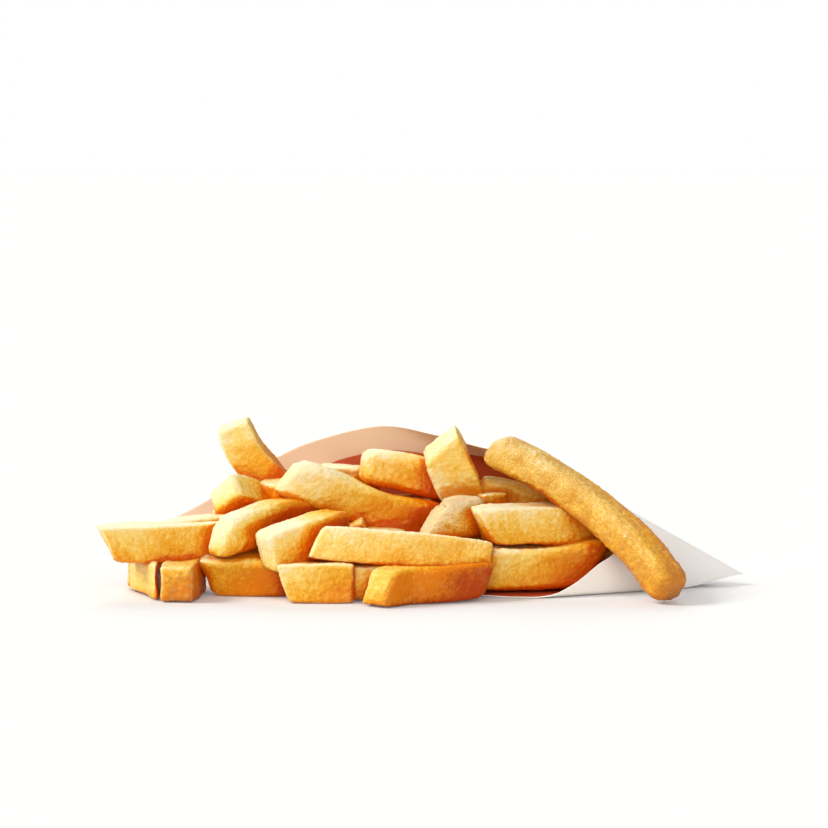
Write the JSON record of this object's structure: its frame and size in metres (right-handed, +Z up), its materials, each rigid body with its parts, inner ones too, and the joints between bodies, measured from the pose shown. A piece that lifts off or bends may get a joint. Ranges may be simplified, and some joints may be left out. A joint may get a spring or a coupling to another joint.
{
  "type": "french fries in a paper cone",
  "caption": "Golden french fries spilling out of a pointed white paper cone that lies on its side, with a red-lined mouth.",
  "frame": {"origin": "centre of the whole's bounding box in plan, on the surface that it lies on", "axes": "+Z up, +X from the spilled fries to the cone's pointed tip, -Y towards the side that the mouth faces"},
  "size_m": [0.173, 0.0769, 0.0445],
  "materials": {
    "paper": "matt paper, white outside, with a red inside and a pale band along the mouth",
    "fried_potato": "crisp golden fried surface, slightly oily"
  },
  "bodies": {
    "root": {"paper_cone": "paper", "fries": "fried_potato"}
  },
  "joints": []
}
